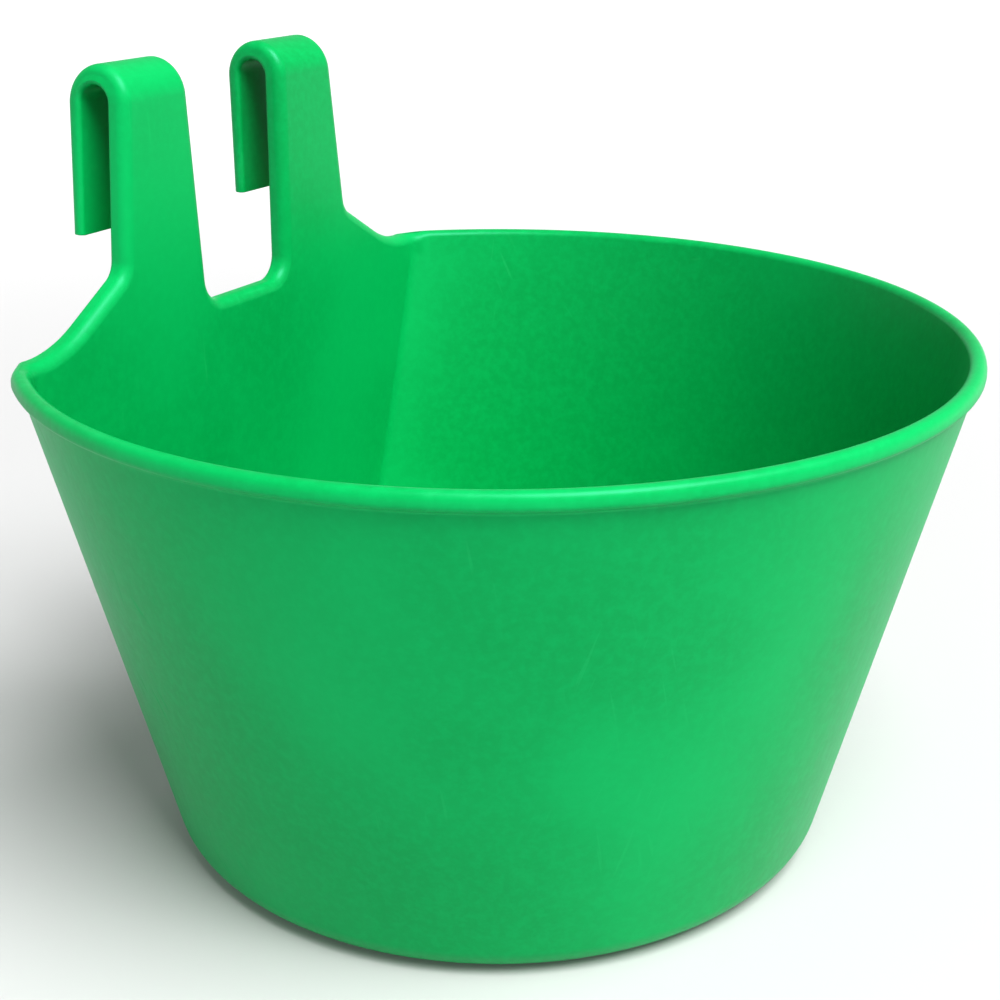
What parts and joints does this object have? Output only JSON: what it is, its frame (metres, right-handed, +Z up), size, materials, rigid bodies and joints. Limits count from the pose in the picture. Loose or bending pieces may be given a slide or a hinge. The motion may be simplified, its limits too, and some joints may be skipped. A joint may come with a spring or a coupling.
{
  "type": "hook-on feed bucket",
  "caption": "Tapered round feed cup with a rolled rim and one flat back wall, which rises into two straps bent over as hooks for a bar or wire mesh.",
  "frame": {"origin": "centre of the round base, on the bowl's axis, at the base's underside", "axes": "+Z up along the bowl's axis, +Y towards the flat back wall and the hooks, +X to the right seen from the front of the bowl"},
  "size_m": [0.2002, 0.1811, 0.1643],
  "materials": {
    "green_plastic": "satin"
  },
  "bodies": {
    "root": {"floor_disc": "green_plastic", "bowl_wall": "green_plastic", "rim_bead": "green_plastic", "back_wall": "green_plastic", "left_strap": "green_plastic", "left_hook_bend": "green_plastic", "left_hook_leg": "green_plastic", "right_strap": "green_plastic", "right_hook_bend": "green_plastic", "right_hook_leg": "green_plastic"}
  },
  "joints": []
}
